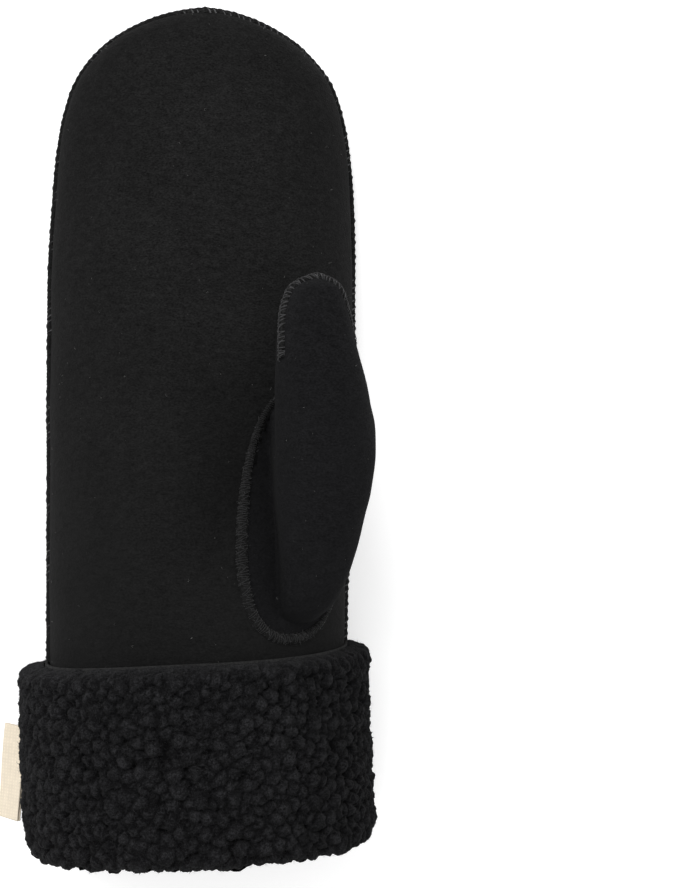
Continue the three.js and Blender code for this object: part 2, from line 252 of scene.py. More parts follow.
def painted(tree, shader, colour, tones, relief, strength, depth):
    """Paints the shader with a colour times several tones, and raises it by a relief. A tone is a socket,
    or a pattern with the lowest and highest of its values that count and the tone at each."""
    whole = 1.0
    for tone in tones:
        if isinstance(tone, tuple):
            tone = add_node(tree, "ShaderNodeMapRange", tone).outputs[0]
        whole = add_node(tree, "ShaderNodeMath", (whole, tone), operation="MULTIPLY").outputs[0]
    scaled = {0: linear(colour)[:3], "Scale": whole}
    base = add_node(tree, "ShaderNodeVectorMath", scaled, operation="SCALE")
    tree.links.new(base.outputs[0], shader.inputs["Base Color"])
    bump = add_node(tree, "ShaderNodeBump", {"Height": relief, "Strength": strength, "Distance": depth})
    tree.links.new(bump.outputs[0], shader.inputs["Normal"])


def suede_material(name, colour, grain=1.0):
    """Black suede: dyed skin buffed to a short nap, dull and fine-grained, rougher on the fingers."""
    surface = {"Roughness": 0.95, "Specular IOR Level": 0.012, "Sheen Weight": 0.01, "Sheen Roughness": 0.6}
    material, tree, shader = new_material(name, surface)
    place = add_node(tree, "ShaderNodeTexCoord").outputs["Object"]
    brushed = noise_at(tree, place, 26 * mm, 3, 0.55, (1, 0.6, 1))
    mottle = noise_at(tree, place, 2.6 * mm, 3, 0.6, (0.8, 1.5, 1))
    # The nap's fibres are finer than a pixel, so their grain is drawn about three times too coarse.
    nap = noise_at(tree, place, 0.6 * mm, 2, 0.75, (0.8, 1.3, 1))
    axes = add_node(tree, "ShaderNodeSeparateXYZ", [place]).outputs
    towards_tip = (axes["Y"], -80 * mm, 60 * mm, 0.6 * grain, 1.2 * grain)
    rough = add_node(tree, "ShaderNodeMapRange", towards_tip).outputs[0]
    # Patches of painted light and painted shade, marked on the palm's points.
    painted_light = add_node(tree, "ShaderNodeAttribute", attribute_name="painted_light").outputs["Fac"]
    # Painted light pales the suede towards the fingers; painted shade darkens it low on its sides, by the
    # seams.
    tones = [
        (brushed, *noise_middle, 0.91, 1.09),
        (axes["Y"], -80 * mm, 80 * mm, 0.88, 1.03),
        (axes["Z"], 12 * mm, 44 * mm, 0.64, 1),
        (painted_light, -1, 1, 0, 2),
    ]
    for pattern, contrast in ((nap, 0.5), (mottle, 0.2)):
        swings = (pattern, *noise_middle, -contrast, contrast)
        swing = add_node(tree, "ShaderNodeMapRange", swings).outputs[0]
        tone = add_node(tree, "ShaderNodeMath", (swing, rough, 1.0), operation="MULTIPLY_ADD")
        tones.append(tone.outputs[0])
    relief = add_node(tree, "ShaderNodeMath", (mottle, 2.5, nap), operation="MULTIPLY_ADD").outputs[0]
    painted(tree, shader, colour, tones, relief, 0.8, 0.2 * mm)
    return material


def wound_curls(tree, place):
    """A tone of light and dark rings round the middle of each curl, bent as its strands wind."""
    middle = add_node(tree, "ShaderNodeAttribute", attribute_name="curl_middle").outputs["Vector"]
    offset = add_node(tree, "ShaderNodeVectorMath", (place, middle), operation="SUBTRACT")
    away = add_node(tree, "ShaderNodeVectorMath", [offset.outputs[0]], operation="LENGTH")
    strands = noise_at(tree, place, 1.6 * mm, 2, 0.6)
    bend = add_node(tree, "ShaderNodeMapRange", (strands, 0.25, 0.75, 0, 2 * math.pi))
    turns = (away.outputs["Value"], 2 * math.pi / (1.2 * mm), bend.outputs[0])
    phase = add_node(tree, "ShaderNodeMath", turns, operation="MULTIPLY_ADD")
    wave = add_node(tree, "ShaderNodeMath", [phase.outputs[0]], operation="SINE")
    return wave.outputs[0], -1, 1, 0.66, 1.34


def wool_material(name, colour, strand, shaded_creases=False):
    """Curly wool: dull dyed fibres felted into curls, with a soft sheen. Creased wool gets painted shade
    deep between its curls and painted light on their tops.
    """
    surface = {"Roughness": 1.0, "Specular IOR Level": 0.03, "Sheen Weight": 0.02, "Sheen Roughness": 0.5}
    material, tree, shader = new_material(name, surface)
    place = add_node(tree, "ShaderNodeTexCoord").outputs["Object"]
    # Wool fibres are 0.03 mm thick. Their strands are drawn ten times coarser, so that they show.
    strands = noise_at(tree, place, strand, 3, 0.8)
    across = add_node(tree, "ShaderNodeSeparateXYZ", [place]).outputs["X"]
    # Painted shade darkens the wool towards the thumb's side, away from the key light.
    tones = [
        (noise_at(tree, place, 7 * mm, 2, 0.5), *noise_middle, 0.85, 1.15),
        (strands, 0.37, 0.63, 0.25, 1.8),
        (across, 25 * mm, 50 * mm, 1, 0.68),
    ]
    # Painted shade in the creases between the curls, and painted light on their tops.
    if shaded_creases:
        depth = add_node(tree, "ShaderNodeAttribute", attribute_name="crease_shade").outputs["Fac"]
        tones += [(depth, 0, 1, 1.5, 0.26), wound_curls(tree, place)]
    painted(tree, shader, colour, tones, strands, 0.9, 0.35 * mm)
    return material


suede = suede_material("black_suede", "#181818", 0.95)
thumb_suede = suede_material("black_suede_thumb", "#161617", 0.88)
inner_wool = wool_material("short_inner_wool", "#131314", 0.9 * mm)

# Thumb ring table, needed here because the palm's hole follows the lowest ring.
thumb_width = 31.4 * mm
thumb_length = 109 * mm
thumb_offset = 36 * mm
thumb_base = 70.5 * mm
thumb_blunt = 1.1 * mm
root_taper = 0.85
root_depth = 20 * mm
ledge_start = thumb_offset - 15.2 * mm
ledge_step = 1.3 * mm
ledge_slant = 0.06
ledge_end = 0.22
ledge_sink = 2 * mm
ledge_sunk_by = 0.18
ledge_fade = 0.1

# Rings from the hole to the tip. Low and high are the ends on the palm's side and on the outer side: y is a
# share of the thumb's length, z of the hand's depth, and width, shift, lean and clear of the thumb's width.
# Lean moves the low end out and the high end in. Full is the ring's fullness, where 2 is an ellipse.
thumb_columns = "low_y low_z high_y high_z width shift lean clear full".split()
thumb_rows = [
    (0.702, 0.800, 0.012, 0.950, 1.030, -0.180, 0.10, 0.00, 2.4),
    (0.702, 0.930, 0.077, 1.330, 0.980, -0.090, 0.06, 0.05, 2.4),
    (0.706, 1.000, 0.202, 1.450, 0.920, 0.015, 0.05, 0.20, 2.2),
    (0.720, 1.053, 0.385, 1.526, 0.970, 0.050, 0.00, 0.18, 2.1),
    (0.748, 1.096, 0.550, 1.570, 0.910, 0.020, 0.00, 0.00, 2.1),
    (0.784, 1.140, 0.683, 1.610, 0.845, -0.022, 0.00, 0.00, 2.1),
    (0.839, 1.193, 0.803, 1.630, 0.745, -0.060, 0.00, 0.00, 2.1),
    (0.904, 1.263, 0.901, 1.615, 0.625, -0.075, 0.00, 0.00, 2.1),
    (0.957, 1.351, 0.963, 1.570, 0.455, -0.065, 0.00, 0.00, 2.1),
    (1.000, 1.474, 1.000, 1.474, 0.000, -0.045, 0.00, 0.00, 2.1),
]
thumb = curves_through(thumb_columns, thumb_rows, np.linspace(0, 1, len(thumb_rows)))


def palm_height(x, y):
    """The height of the palm's surface over a point."""
    at = hand_at((tip_y - y) / mitten_length)
    across = np.minimum(np.abs(x - at["middle"]) / at["half_width"], 1)
    return at["seam"] + at["up"] * (1 - across**round_palm) ** (1 / round_palm)


def thumb_points(place, angle, grow=0.0):
    """Points on the thumb by share of its rings and angle round it: 0 is the outer edge of the hand."""
    start = fold_y + thumb_base
    low_y = start + thumb["low_y"](place) * thumb_length
    high_y = start + thumb["high_y"](place) * thumb_length
    low_z, high_z = thumb["low_z"](place) * hand_depth, thumb["high_z"](place) * hand_depth
    half_y, half_z = (high_y - low_y) / 2, (high_z - low_z) / 2
    spread = np.minimum(1, thumb["width"](place))
    length = np.maximum(np.hypot(half_y, half_z), 0.01 * mm)
    stretch = 1 + grow * spread / length
    half_width = thumb["width"](place) * thumb_width / 2 + grow * spread
    full = thumb["full"](place)
    out, along = rounded_section(angle, half_width, 1, 1, full, full)
    lean = thumb["lean"](place) * thumb_width * along
    x = thumb_offset + thumb["shift"](place) * thumb_width + out - lean
    y = (low_y + high_y) / 2 + grow * (1 - spread) + half_y * stretch * along
    y = start + thumb_length - np.hypot(start + thumb_length - y, thumb_blunt)
    least = palm_height(x, y) + thumb["clear"](place) * thumb_width
    z = np.maximum((low_z + high_z) / 2 + half_z * stretch * along, least)
    # Beside the thumb's inner flank the leather sinks into the hole as a flat ledge.
    ledge = palm_height(x, y) - ledge_sink * np.clip(place / ledge_sunk_by, 0, 1)
    flank = ledge_start + ledge_slant * np.maximum(-y, 0)
    rise = np.maximum((x + grow - flank) / ledge_step, (place - ledge_end) / ledge_fade)
    rise = np.clip(rise, 0, 1)
    z = ledge + (z - ledge) * rise * rise * (3 - 2 * rise)
    return np.stack([x, y, z], axis=-1)


def hole_edge(angle):
    """The line where the thumb's root goes into the palm."""
    ring = thumb_points(np.zeros_like(angle), angle)
    middle = (thumb_points(0.0, 0.0) + thumb_points(0.0, math.pi)) / 2
    root = ring + (middle - ring) * (1 - root_taper)
    root[:, 2] = ring[:, 2] - root_depth
    near, far = np.zeros(len(angle)), np.ones(len(angle))
    for _ in range(30):
        share = (near + far) / 2
        point = ring + (root - ring) * share[:, None]
        above = point[:, 2] > palm_height(point[:, 0], point[:, 1])
        near, far = np.where(above, share, near), np.where(above, far, share)
    return ring + (root - ring) * near[:, None]


hole_angles = np.linspace(0, 2 * math.pi, 180, endpoint=False)
hole = hole_edge(hole_angles)
hole_middle = hole.mean(axis=0)


def outside_hole(points):
    """True for points of the palm that aren't over the thumb's hole."""
    ring = np.arctan2(hole[:, 1] - hole_middle[1], hole[:, 0] - hole_middle[0])
    order = np.argsort(ring)
    reach = np.hypot(hole[:, 0] - hole_middle[0], hole[:, 1] - hole_middle[1])
    at = np.arctan2(points[:, 1] - hole_middle[1], points[:, 0] - hole_middle[0])
    edge = np.interp(at, ring[order], reach[order], period=2 * math.pi)
    away = np.hypot(points[:, 0] - hole_middle[0], points[:, 1] - hole_middle[1])
    above = points[:, 2] > hole[:, 2].min() - leather_wall
    hidden_rim = 0.4 * mm
    return ~((away < edge - hidden_rim) & above)


hem_above_fold = 13.5 * mm
hem_along = (tip_y - fold_y - hem_above_fold) / mitten_length
swell_height = 0.2 * hand_depth
hand_rows_shown = (np.linspace(0, 1, 190)[:, None] ** 1.6) * hem_along
palm_turn = np.linspace(0, math.pi, 120)[None, :]
back_turn = np.linspace(math.pi, 2 * math.pi, 110)[None, :]
palm_grid = puffed(hand_points(hand_rows_shown, palm_turn), swell_height)
palm = walled(sheet_mesh("palm_panel_suede", palm_grid, keep=outside_hole), leather_wall)
back_grid = puffed(hand_points(hand_rows_shown[::2], back_turn), swell_height)
back = walled(sheet_mesh("back_panel_suede", back_grid), leather_wall)
# Painted shade darkens the palm beside the thumb's hole, and painted light pales it beside the thumb's tip,
# where the thumb shades it.
painted_light_columns = "x y half_width half_length paler".split()
painted_light_patches = [
    (10 * mm, -14 * mm, 15 * mm, 24 * mm, -0.34),
    (11 * mm, 33 * mm, 12 * mm, 17 * mm, 0.24),
]
palm_points = points_of(palm)
painted_light = np.zeros(len(palm_points))
for row in painted_light_patches:
    patch = dict(zip(painted_light_columns, row))
    across = (palm_points[:, 0] - patch["x"]) / patch["half_width"]
    along = (palm_points[:, 1] - patch["y"]) / patch["half_length"]
    painted_light += patch["paler"] * np.exp(-(across**2) - along**2)
mark_points(palm.data, "painted_light", painted_light)
for panel, node in ((palm, "palm_panel"), (back, "back_panel")):
    panel.data.materials.append(suede)
    panel.data.materials.append(inner_wool)
    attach(panel, "root")
    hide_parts(node)


# Side seam: the two panels' cut edges are laid together standing out, and sewn over and over with black
# thread. It runs from the cuff up one side, over the fingertip and down the other, as a low double ridge.
seam_height = 2.1 * mm
seam_half_width = 2.3 * mm
seam_sink = 0.35 * mm
seam_pitch = 2.4 * mm
thread_radius = 0.13 * mm
side_thread_radius = 0.26 * mm
bead_step = 0.6 * mm


def along_line(points):
    """Unit vectors along a line of points."""
    step = np.gradient(points, axis=0)
    return step / np.linalg.norm(step, axis=1, keepdims=True)


def evenly(points, step, *others):
    """The line, and vectors kept with it, at even steps along it."""
    travel = np.concatenate([[0], np.cumsum(np.linalg.norm(np.diff(points, axis=0), axis=1))])
    at = np.linspace(0, travel[-1], max(2, round(travel[-1] / step) + 1))
    evened = []
    for line in (points, *others):
        evened.append(np.stack([np.interp(at, travel, line[:, k]) for k in range(3)], axis=1))
    return evened


def unit(vectors):
    """The vectors at a length of one."""
    return vectors / np.maximum(np.linalg.norm(vectors, axis=1, keepdims=True), 1e-9)


def seam_bead(name, line, outward, half_width, height, pitch, fullness=None):
    """Two leather edges side by side along a line, drawn in a little at each stitch. Fullness, a share for
    each point of the line, makes the seam slimmer where it fades."""
    if fullness is None:
        fullness = np.ones(len(line))
    line, outward, full = evenly(line, bead_step, outward, np.repeat(fullness[:, None], 3, axis=1))
    forward = along_line(line)
    across = unit(np.cross(forward, unit(outward)))
    outward = unit(np.cross(across, forward))
    tucked_under, groove_depth, groove_width, stitch_pull = 0.12, 0.16, 0.3, 0.09
    turn = np.linspace(-tucked_under, math.pi + tucked_under, 17)
    groove = 1 - groove_depth * np.exp(-(((turn - math.pi / 2) / groove_width) ** 2))
    travel = np.arange(len(line)) * bead_step
    pull = (1 - stitch_pull * (0.5 + 0.5 * np.cos(2 * math.pi * travel / pitch))) * full[:, 0]
    wander = np.array([noise.noise(Vector(p) / (9 * mm)) for p in line]) * 0.25 * mm
    side = np.cos(turn)[None, :] * half_width * pull[:, None] + wander[:, None]
    rise = np.sin(turn)[None, :] * groove[None, :] * height * pull[:, None] - seam_sink
    grid = line[:, None] + across[:, None] * side[..., None] + outward[:, None] * rise[..., None]
    bead = sheet_mesh(name, grid)
    bead.modifiers.new("weld", "WELD").merge_threshold = weld_reach
    return baked(bead)


def thread_tube(name, path, beside, radius):
    """A round thread along a path that never runs the way given as beside."""
    forward = along_line(path)
    sideways = unit(np.cross(forward, np.array(beside)))
    upward = np.cross(sideways, forward)
    turn = np.linspace(0, 2 * math.pi, 6, endpoint=False)[None, :, None]
    ring = np.cos(turn) * sideways[:, None] + np.sin(turn) * upward[:, None]
    return sheet_mesh(name, path[:, None] + ring * radius, closed=True)


def put_aside(piece):
    """Takes a shape out of the scene, so that only its copies show."""
    bpy.context.scene.collection.objects.unlink(piece)
    return piece


def stitch_shape(name, half_width, height, slant, radius):
    """One overcast stitch: a thread over the seam's edge, from one side's needle hole to the other's."""
    turn = np.linspace(-0.1, math.pi + 0.1, 11)
    rise = np.sin(turn) * height - seam_sink
    path = np.stack([slant * (turn / math.pi - 0.5), np.cos(turn) * half_width, rise], axis=1)
    return put_aside(thread_tube(name, path, (1.0, 0.0, 0.0), radius))


# The vector noise would start from the clock, so a fixed seed keeps the threads and curls the same.
noise.seed_set(5)


def thread_along(name, line, radius):
    """A thread that lies along a line, a little uneven."""
    line = evenly(line, 0.5 * mm)[0]
    line += np.array([list(noise.noise_vector(Vector(p) / (0.9 * mm))) for p in line]) * 0.25 * mm
    return thread_tube(name, line, (0.0, 0.0, 1.0), radius)


def new_geometry_tree(name, sizes):
    """A Geometry Nodes tree with a geometry input and output and a named input for each size."""
    tree = bpy.data.node_groups.new(name, "GeometryNodeTree")
    tree.interface.new_socket("Geometry", in_out="INPUT", socket_type="NodeSocketGeometry")
    for size, kind in sizes.items():
        tree.interface.new_socket(size, in_out="INPUT", socket_type=kind)
    tree.interface.new_socket("Geometry", in_out="OUTPUT", socket_type="NodeSocketGeometry")
    return tree, add_node(tree, "NodeGroupInput").outputs


def run_tree(piece, tree, values):
    """Runs a Geometry Nodes tree on the piece with the values of its named inputs, into a plain mesh."""
    modifier = piece.modifiers.new(tree.name, "NODES")
    modifier.node_group = tree
    for item in tree.interface.items_tree:
        if item.in_out == "INPUT" and item.name in values:
            modifier[item.identifier] = values[item.name]
    return baked(piece)


# Stitches stand on points that carry the seam's direction and the way out of it.
stitch_tree, given = new_geometry_tree(
    "overcast_stitches",
    {
        "Stitch": "NodeSocketObject",
        "Sway": "NodeSocketFloat",
        "Seed": "NodeSocketInt",
        "Thread": "NodeSocketMaterial",
    },
)


def adder(tree):
    """Adds nodes to one tree, each from its kind, inputs and settings, and gives the outputs."""
    return lambda kind, inputs=(), **settings: add_node(tree, kind, inputs, **settings).outputs


sew = adder(stitch_tree)
kind, vector = "GeometryNodeInputNamedAttribute", "FLOAT_VECTOR"
forward_way = sew(kind, {"Name": "forward"}, data_type=vector)[0]
outward_way = sew(kind, {"Name": "outward"}, data_type=vector)[0]
fullness = sew(kind, {"Name": "fullness"}, data_type="FLOAT")[0]
ways = {"Primary Axis": outward_way, "Secondary Axis": forward_way}
facing = sew("FunctionNodeAxesToRotation", ways, primary_axis="Z", secondary_axis="X")[0]
sway_least = sew("ShaderNodeMath", (given["Sway"], -1.0), operation="MULTIPLY")[0]
sway = sew("FunctionNodeRandomValue", {2: sway_least, 3: given["Sway"], "Seed": given["Seed"]})[1]
lay = sew("ShaderNodeCombineXYZ", {"Z": sway})[0]
swayed = sew("FunctionNodeRotateRotation", (facing, lay), rotation_space="LOCAL")[0]
looseness = sew("FunctionNodeRandomValue", {2: 0.93, 3: 1.1, "Seed": given["Seed"]})[1]
thread_size = sew("ShaderNodeMath", (fullness, looseness), operation="MULTIPLY")[0]
stitches = {
    "Points": sew("GeometryNodeMeshToPoints", {"Mesh": given["Geometry"]})[0],
    "Instance": sew("GeometryNodeObjectInfo", {"Object": given["Stitch"]})["Geometry"],
    "Rotation": swayed,
    "Scale": thread_size,
}
sewn = sew("GeometryNodeRealizeInstances", [sew("GeometryNodeInstanceOnPoints", stitches)[0]])[0]
dyed_thread = sew("GeometryNodeSetMaterial", {"Geometry": sewn, "Material": given["Thread"]})[0]
sew("NodeGroupOutput", {"Geometry": dyed_thread})


def thread_material(name, colour, patch=2.5 * mm, fading=0.4):
    """Black spun polyester thread: two plies twisted together, duller than silk, with a slight sheen. It is
    rubbed paler in patches of a size, by a share."""
    surface = {"Roughness": 0.7, "Specular IOR Level": 0.3, "Sheen Weight": 0.1}
    material, tree, shader = new_material(name, surface)
    place = add_node(tree, "ShaderNodeTexCoord").outputs["Object"]
    plies = noise_at(tree, place, 0.35 * mm, 3, 0.8)
    worn = noise_at(tree, place, patch, 2, 0.6)
    tones = [(plies, *noise_middle, 0.6, 1.4), (worn, *noise_middle, 1 - fading, 1 + fading)]
    painted(tree, shader, colour, tones, plies, 0.7, 0.1 * mm)
    return material


thread_black = thread_material("black_thread", "#111112", 0.9 * mm, 0.9)
worn_thread = thread_material("black_thread_worn", "#2a2a2b", 0.9 * mm, 0.7)
pale_thread = thread_material("black_thread_faded", "#3c3c3d")
seam_suede = suede_material("black_suede_edge", "#1a1a1a", 1.4)
# The side seam's edge is painted paler than the palm: painted light where the groove beside the palm shades
# it.
side_edge = suede_material("black_suede_side_edge", "#1f1f1f", 1.4)


def overcast(name, line, outward, pitch, stitch, thread, seed, sway=0.25, fullness=None):
    """A run of overcast stitches along a line of the seam, smaller where the seam is slimmer."""
    if fullness is None:
        fullness = np.ones(len(line))
    holes, ways, full = evenly(line, pitch, outward, np.repeat(fullness[:, None], 3, axis=1))
    mesh = bpy.data.meshes.new(name)
    mesh.from_pydata(holes.tolist(), [], [])
    mark_points(mesh, "fullness", full[:, 0].copy())
    mark_points(mesh, "forward", along_line(holes))
    mark_points(mesh, "outward", unit(ways))
    run = bpy.data.objects.new(name, mesh)
    bpy.context.scene.collection.objects.link(run)
    values = {"Stitch": stitch, "Sway": sway, "Seed": seed, "Thread": thread}
    return run_tree(run, stitch_tree, values)


# Fuzz: loose fibres of thread and nap that stand off every seam and off the wool.
def fibre_shape(name, length, radius, curl, steps=5):
    """A thin tapered fibre that curls over as it rises."""
    rise = np.linspace(0, 1, steps)
    bend = curl * rise
    ways = [np.sin(bend), np.sin(bend * 1.7) * 0.3, np.cos(bend * 0.8)]
    path = np.stack([way * rise for way in ways], axis=1) * length
    turn = np.linspace(0, 2 * math.pi, 3, endpoint=False)
    ring = np.stack([np.cos(turn), np.sin(turn), 0 * turn], axis=1)
    width = radius * (1.05 - rise)
    return put_aside(sheet_mesh(name, path[:, None] + ring[None] * width[:, None, None], closed=True))


def fibre_group(name, shortest, longer, radius, straightest, curlier, steps=5):
    """Three fibres, each longer and curlier than the last, for a Geometry Nodes tree to choose from."""
    group = bpy.data.collections.new(f"{name}s")
    for k in range(3):
        shape = fibre_shape(f"{name}_{k}", shortest + k * longer, radius, straightest + k * curlier, steps)
        group.objects.link(shape)
    return group


# Scatters shapes over a surface, tipped away from its outward way, and keeps only the shapes.
scatter_tree, given = new_geometry_tree(
    "scattered_shapes",
    {
        "Shapes": "NodeSocketCollection",
        "Spacing": "NodeSocketFloat",
        "Density": "NodeSocketFloat",
        "Least size": "NodeSocketFloat",
        "Most size": "NodeSocketFloat",
        "Tip": "NodeSocketFloat",
        "Lift": "NodeSocketFloat",
        "Seed": "NodeSocketInt",
        "Finish": "NodeSocketMaterial",
    },
)
strew = adder(scatter_tree)
limits = {
    "Mesh": given["Geometry"],
    "Distance Min": given["Spacing"],
    "Density Max": given["Density"],
    "Seed": given["Seed"],
}
spots = strew("GeometryNodeDistributePointsOnFaces", limits, distribute_method="POISSON")
tip_least = strew("ShaderNodeMath", (given["Tip"], -1.0), operation="MULTIPLY")[0]
tips = []
for axis_seed in (1.0, 2.0):
    seed = strew("ShaderNodeMath", (given["Seed"], axis_seed), operation="ADD")[0]
    tips.append(strew("FunctionNodeRandomValue", {2: tip_least, 3: given["Tip"], "Seed": seed})[1])
spin = strew("FunctionNodeRandomValue", {2: 0.0, 3: 2 * math.pi, "Seed": given["Seed"]})[1]
turned = spots["Rotation"]
for turn in ({"X": tips[0], "Y": tips[1]}, {"Z": spin}):
    angles = strew("ShaderNodeCombineXYZ", turn)[0]
    turned = strew("FunctionNodeRotateRotation", (turned, angles), rotation_space="LOCAL")[0]
limits = {2: given["Least size"], 3: given["Most size"], "Seed": given["Seed"]}
size = strew("FunctionNodeRandomValue", limits)[1]
group = {"Collection": given["Shapes"], "Separate Children": True, "Reset Children": True}
copies = {
    "Points": spots["Points"],
    "Instance": strew("GeometryNodeCollectionInfo", group)[0],
    "Pick Instance": True,
    "Rotation": turned,
    "Scale": size,
}
lift = {
    "Instances": strew("GeometryNodeInstanceOnPoints", copies)[0],
    "Translation": strew("ShaderNodeCombineXYZ", {"Z": given["Lift"]})[0],
    "Local Space": True,
}
loose = strew("GeometryNodeRealizeInstances", [strew("GeometryNodeTranslateInstances", lift)[0]])[0]
finished = strew("GeometryNodeSetMaterial", {"Geometry": loose, "Material": given["Finish"]})[0]
strew("NodeGroupOutput", {"Geometry": finished})


def scatter(name, surface, shapes, spacing, sizes, tip, lift, seed, finish, density=3e7):
    """Shapes strewn over a copy of a surface, as one piece. The density is the most in a square metre."""
    piece = bpy.data.objects.new(name, surface.data.copy())
    bpy.context.scene.collection.objects.link(piece)
    values = {
        "Shapes": shapes,
        "Spacing": spacing,
        "Density": density,
        "Least size": sizes[0],
        "Most size": sizes[1],
        "Tip": tip,
        "Lift": lift,
        "Seed": seed,
        "Finish": finish,
    }
    return run_tree(piece, scatter_tree, values)


seam_start = 56 * mm
seam_rise = 0.7 * mm
seam_end = (tip_y - fold_y - seam_start) / mitten_length
seam_share = np.linspace(1, 0, 240)[:-1] ** 2 * seam_end
seam_line = np.concatenate(
    [
        hand_points(seam_share, np.full(len(seam_share), math.pi)),
        hand_points(np.array([0.0]), np.array([0.0])),
        hand_points(seam_share[::-1], np.zeros(len(seam_share))),
    ]
)
seam_line[:, 2] += seam_rise
seam_line = evenly(seam_line, 1 * mm)[0]
seam_forward = along_line(seam_line)
seam_out = unit(np.cross(np.array([0.0, 0.0, 1.0]), seam_forward * np.array([1, 1, 0])))
side_seam = seam_bead("side_seam", seam_line, seam_out, seam_half_width, seam_height, seam_pitch)
side_stitch = stitch_shape(
    "side_stitch", seam_half_width * 0.86, seam_height * 0.85, 3 * mm, side_thread_radius
)
side_stitches = overcast("side_seam_stitches", seam_line, seam_out, seam_pitch, side_stitch, pale_thread, 3)
seam_fibres = fibre_group("seam_fibre", 1.2 * mm, 0.5 * mm, 0.045 * mm, 1.2, 0.7)
thread_loops = fibre_group("thread_loop", 0.8 * mm, 0.3 * mm, 0.12 * mm, 1.6, 0.3)
side_fuzz = scatter(
    "side_seam_fuzz", side_seam, seam_fibres, 1.6 * mm, (0.2, 0.6), 1.2, 0, 11, worn_thread
)
side_seam.data.materials.append(side_edge)
for piece in (side_seam, side_stitches, side_fuzz):
    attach(piece, "root")


# Thumb: one piece of the same skin, folded round and closed by a seam over its tip, set into the palm's
# hole. It stands out of the palm towards the fingertips, with a flat ledge between it and the hole's edge.
thumb_places = np.linspace(0, 1, 130)[:, None]
thumb_around = np.linspace(0, 2 * math.pi, 110, endpoint=False)[None, :]
thumb_swell = 0.5 * mm
thumb_grid = puffed(thumb_points(thumb_places, thumb_around), 1.2 * hand_depth, thumb_swell, 22 * mm)
root_ring = thumb_grid[0]
root_middle = root_ring.mean(axis=0)
root_steps = []
for share in (0.9, 0.6, 0.3, 0.1):
    ring = root_ring + (root_middle - root_ring) * (1 - root_taper) * share
    ring[:, 2] = root_ring[:, 2] - root_depth * share
    root_steps.append(ring)
# The rings run from the root up, so they are turned round for the faces to point outwards.
thumb_grid = np.concatenate([np.array(root_steps), thumb_grid])[:, ::-1]
thumb_piece = walled(sheet_mesh("thumb_suede", thumb_grid, closed=True), leather_wall)
thumb_piece.data.materials.append(thumb_suede)
thumb_piece.data.materials.append(inner_wool)
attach(thumb_piece, "root")
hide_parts("thumb")

thumb_seam_height = 1.7 * mm
thumb_seam_half_width = 1.6 * mm
thumb_pitch = 0.95 * mm
left_places = np.linspace(0.625, 1, 70)
left_turn = math.pi - 0.55 * np.linspace(1, 0.2, len(left_places))
left_fade = np.linspace(0.9, 1, len(left_places))
right_places = np.linspace(1, 0.66, 60)[1:]
right_turn = 0.25 * np.linspace(1, 0.3, len(right_places))
right_fade = np.linspace(1, 0.35, len(right_places))
thumb_line = np.concatenate([thumb_points(left_places, left_turn), thumb_points(right_places, right_turn)])
thumb_fade = np.concatenate([left_fade, right_fade])
thumb_middle = np.stack(
    [
        np.full(len(thumb_line), thumb_offset - 0.04 * thumb_width),
        np.minimum(thumb_line[:, 1], fold_y + thumb_base + 0.86 * thumb_length),
        np.full(len(thumb_line), 1.4 * hand_depth),
    ],
    axis=1,
)
thumb_out = unit(thumb_line - thumb_middle)
thumb_seam = seam_bead(
    "thumb_seam", thumb_line, thumb_out, thumb_seam_half_width, thumb_seam_height, thumb_pitch, thumb_fade
)
thumb_stitch = stitch_shape(
    "thumb_stitch", thumb_seam_half_width * 1.08, thumb_seam_height * 0.92, 1.8 * mm, thread_radius * 1.2
)
thumb_stitches = overcast(
    "thumb_seam_stitches", thumb_line, thumb_out, thumb_pitch, thumb_stitch, worn_thread, 7, 0.5, thumb_fade
)
thumb_fuzz = scatter(
    "thumb_seam_fuzz", thumb_seam, thread_loops, 0.9 * mm, (0.3, 1), 1.5, 0.1 * mm, 13, pale_thread
)
lock_height = thumb_seam_height * thumb_fade[:, None] - seam_sink
lock_thread = thread_along("thumb_lock_thread", thumb_line + thumb_out * lock_height, 0.15 * mm)
lock_thread.data.materials.append(thread_black)
thumb_seam.data.materials.append(seam_suede)
for piece in (thumb_seam, thumb_stitches, lock_thread, thumb_fuzz):
    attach(piece, "root")


# Thumb-hole seam: the palm's edge and the thumb's are turned out together round the hole and overcast
# closely with thread, which makes a fat cord-like ridge about 4 mm wide.
ridge_half_width = 1.7 * mm
ridge_height = 2.1 * mm
ridge_pitch = 0.7 * mm


def hand_fullness(points):
    """How far points are outside the hand's section: 0 on the palm's surface."""
    at = hand_at((tip_y - points[:, 1]) / mitten_length)
    across = np.abs(points[:, 0] - at["middle"]) / at["half_width"]
    height = (points[:, 2] - at["seam"]) / at["up"]
    return across**round_palm + np.maximum(height, 0) ** round_palm - 1


def palm_outward(points):
    """The way out of the palm's surface at points on it."""
    step = 0.2 * mm
    slopes = []
    for axis in np.eye(3):
        slopes.append(hand_fullness(points + axis * step) - hand_fullness(points - axis * step))
    return unit(np.stack(slopes, axis=1))


ridge_out = palm_outward(hole)
ridge_forward = unit(np.roll(hole, -1, axis=0) - np.roll(hole, 1, axis=0))
ridge_line = hole + unit(np.cross(ridge_out, ridge_forward)) * ridge_half_width * 0.75
ridge_out = palm_outward(ridge_line)
ridge_line = np.concatenate([ridge_line, ridge_line[:1]])
ridge_out = np.concatenate([ridge_out, ridge_out[:1]])
